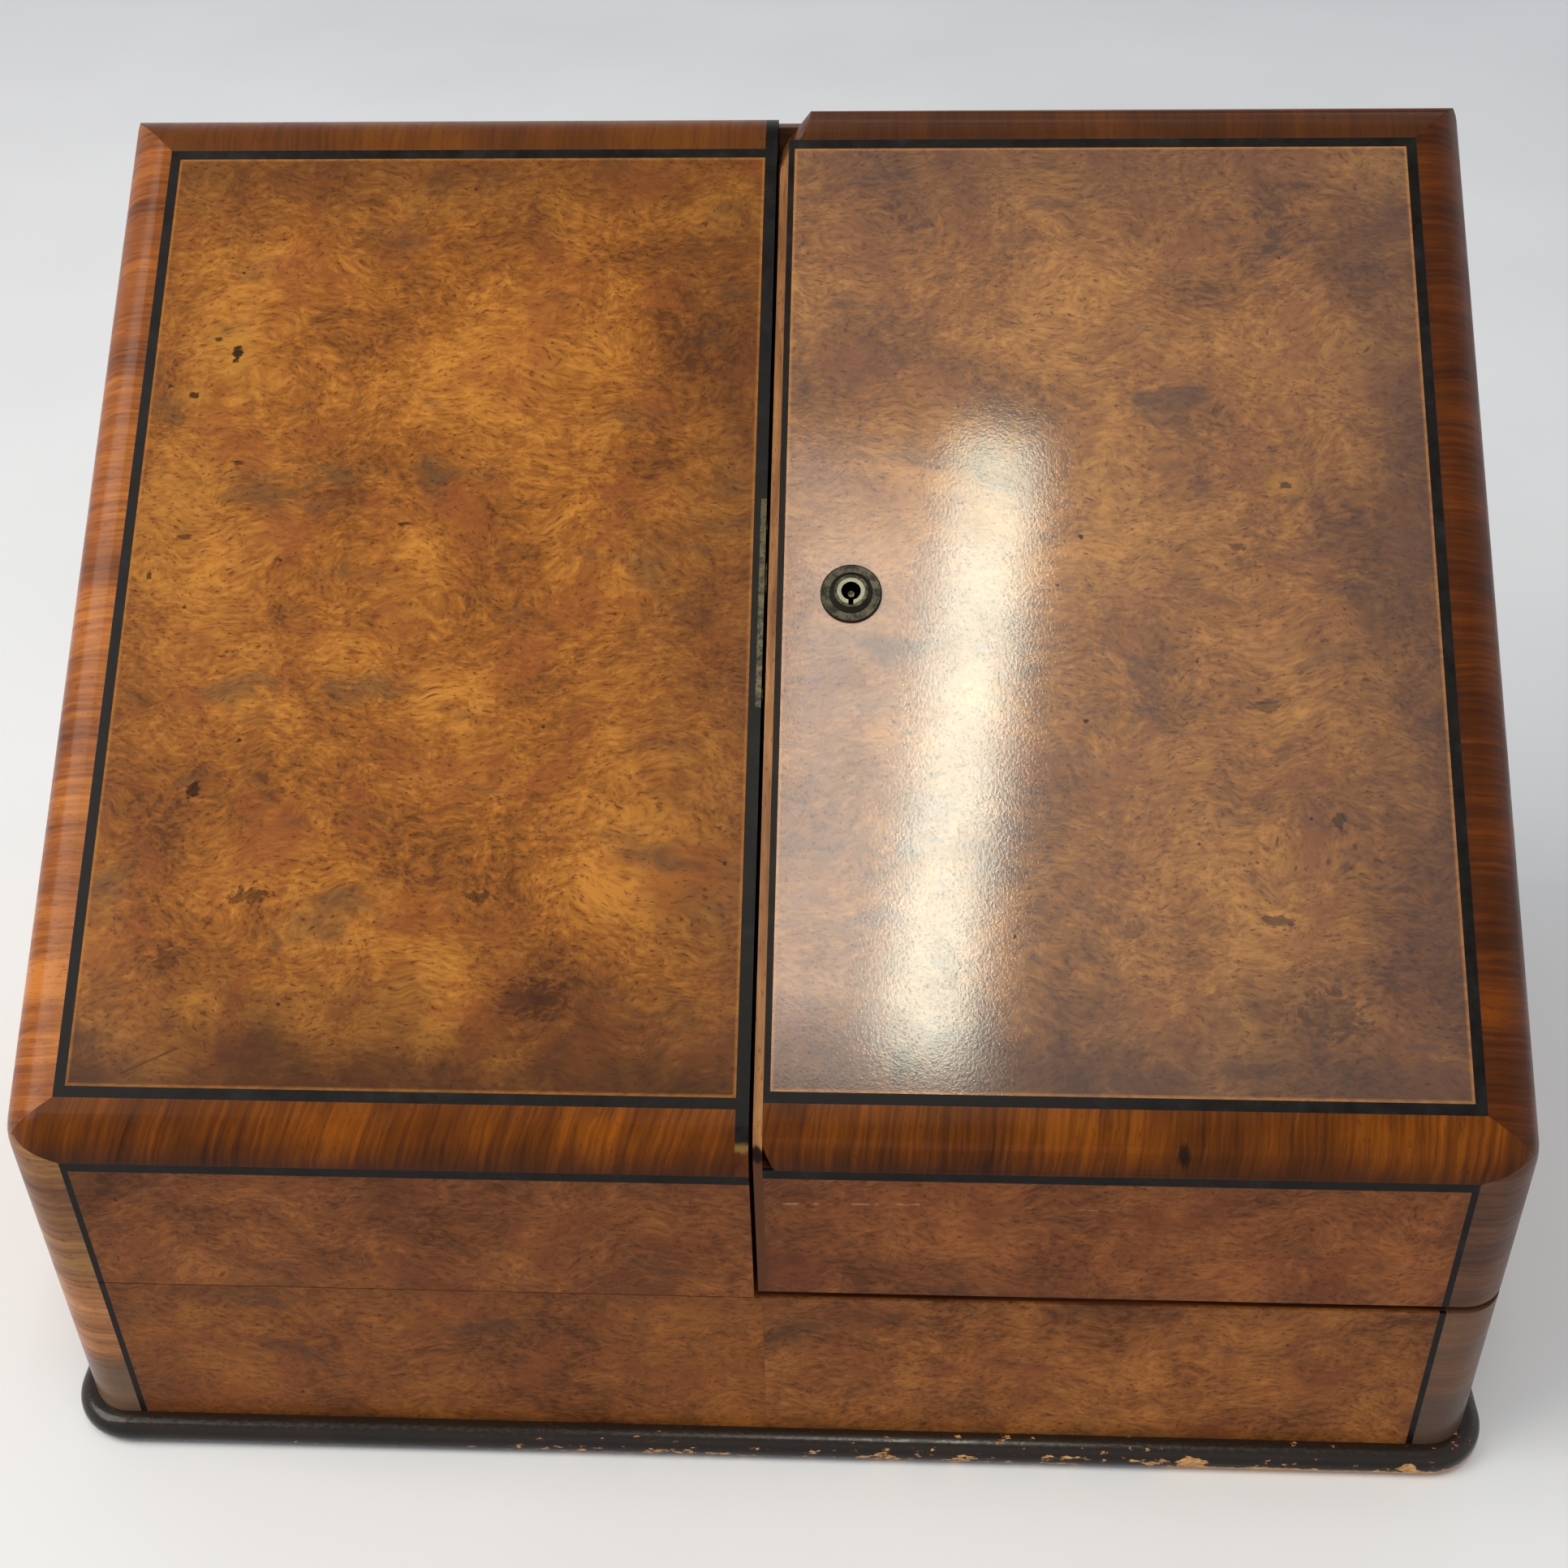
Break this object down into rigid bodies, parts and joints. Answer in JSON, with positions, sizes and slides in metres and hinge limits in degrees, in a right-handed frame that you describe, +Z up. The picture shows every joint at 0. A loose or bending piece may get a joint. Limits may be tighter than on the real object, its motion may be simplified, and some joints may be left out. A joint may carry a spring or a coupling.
{
  "type": "stationery box",
  "caption": "Slope-front stationery box with two rounded shell doors, a lock, a letter rack, a pen tray and inkwells inside.",
  "frame": {"origin": "centre of the underside's bounding box, on the surface that the box stands on", "axes": "+X to the right along the width, +Y to the back, +Z up; the front faces -Y"},
  "size_m": [0.411, 0.2694, 0.3033],
  "materials": {
    "burr_walnut": "polished burr walnut veneer, golden to red brown, satin to glossy",
    "solid_walnut": "polished cross-grained solid walnut",
    "ebonised_wood": "black ebonised wood, satin",
    "walnut_veneer_back": "plain walnut, satin",
    "carcase_wood": "plain mahogany, waxed",
    "rack_wood": "polished walnut",
    "brass": "aged brass, dull greenish brown",
    "ink_glass": "clear pressed glass",
    "lining_cloth": "dark green baize"
  },
  "bodies": {
    "case": {"back_board": "walnut_veneer_back", "base_corner_posts": "solid_walnut", "base_front_wall": "carcase_wood", "base_left_wall": "carcase_wood", "base_moulding": "ebonised_wood", "base_right_wall": "carcase_wood", "base_side_veneers": "burr_walnut", "base_stringing": "ebonised_wood", "base_veneer_left": "burr_walnut", "base_veneer_right": "burr_walnut", "bottom_board": "carcase_wood", "case_hinge_leaves": "brass", "case_hinge_screws": "brass", "head_rail": "carcase_wood", "hinge_pins": "brass", "inkwell_collars": "brass", "inkwells": "ink_glass", "rack_board_front": "rack_wood", "rack_board_middle": "rack_wood", "rack_board_rear": "rack_wood", "rack_cheeks": "rack_wood", "well_dividers": "rack_wood", "well_lining": "lining_cloth", "well_rail": "rack_wood"},
    "left_door": {"left_corner_post": "solid_walnut", "left_front_panel": "carcase_wood", "left_front_veneer": "burr_walnut", "left_hinge_leaves": "brass", "left_meeting_strip": "ebonised_wood", "left_nose_moulding": "solid_walnut", "left_ridge_moulding": "solid_walnut", "left_screws": "brass", "left_side_moulding": "solid_walnut", "left_side_panel": "carcase_wood", "left_side_veneer": "burr_walnut", "left_slope_panel": "carcase_wood", "left_slope_veneer": "burr_walnut", "left_strike_plate": "brass", "left_stringing": "ebonised_wood"},
    "right_door": {"right_corner_post": "solid_walnut", "right_edge_strip": "solid_walnut", "right_front_panel": "carcase_wood", "right_front_veneer": "burr_walnut", "right_hinge_leaves": "brass", "right_nose_moulding": "solid_walnut", "right_ridge_moulding": "solid_walnut", "right_screws": "brass", "right_side_moulding": "solid_walnut", "right_side_panel": "carcase_wood", "right_side_veneer": "burr_walnut", "right_slope_panel": "carcase_wood", "right_slope_veneer": "burr_walnut", "right_stringing": "ebonised_wood", "lock_case": "brass", "lock_nozzle": "brass"},
    "lock_bolt": {"lock_bolt": "brass"},
    "lock_lever": {"lock_lever": "brass"},
    "inkwell_cap_left": {"inkwell_cap_left": "brass"},
    "inkwell_cap_right": {"inkwell_cap_right": "brass"},
    "pen_tray": {"pen_tray": "rack_wood"}
  },
  "joints": [
    {"name": "left_door_hinge", "type": "hinge", "parent": "case", "child": "left_door", "pos_m": [-0.2015, 0.1246, 0.172], "axis": [0, 0, -1], "range_deg": [0, 110]},
    {"name": "right_door_hinge", "type": "hinge", "parent": "case", "child": "right_door", "pos_m": [0.2015, 0.1246, 0.172], "axis": [0, 0, 1], "range_deg": [0, 110]},
    {"name": "lock_lever_turn", "type": "hinge", "parent": "right_door", "child": "lock_lever", "pos_m": [0.0302, 0.0057, 0.21316], "axis": [0, -0.5878, 0.809], "range_deg": [-8, 0]},
    {"name": "lock_bolt_slide", "type": "slide", "parent": "right_door", "child": "lock_bolt", "axis": [-1, 0, 0], "range_m": [0, 0.0046]},
    {"name": "inkwell_cap_left_hinge", "type": "hinge", "parent": "case", "child": "inkwell_cap_left", "pos_m": [-0.1675, -0.07205, 0.0515], "axis": [-1, 0, 0], "range_deg": [0, 100]},
    {"name": "inkwell_cap_right_hinge", "type": "hinge", "parent": "case", "child": "inkwell_cap_right", "pos_m": [0.1675, -0.07205, 0.0515], "axis": [-1, 0, 0], "range_deg": [0, 100]},
    {"name": "pen_tray_lift", "type": "slide", "parent": "case", "child": "pen_tray", "axis": [0, 0, 1], "range_m": [0, 0.03]}
  ],
  "couplings": [
    {"joint": "lock_lever_turn", "follows": "lock_bolt_slide", "rad_per_m": -30.354}
  ]
}
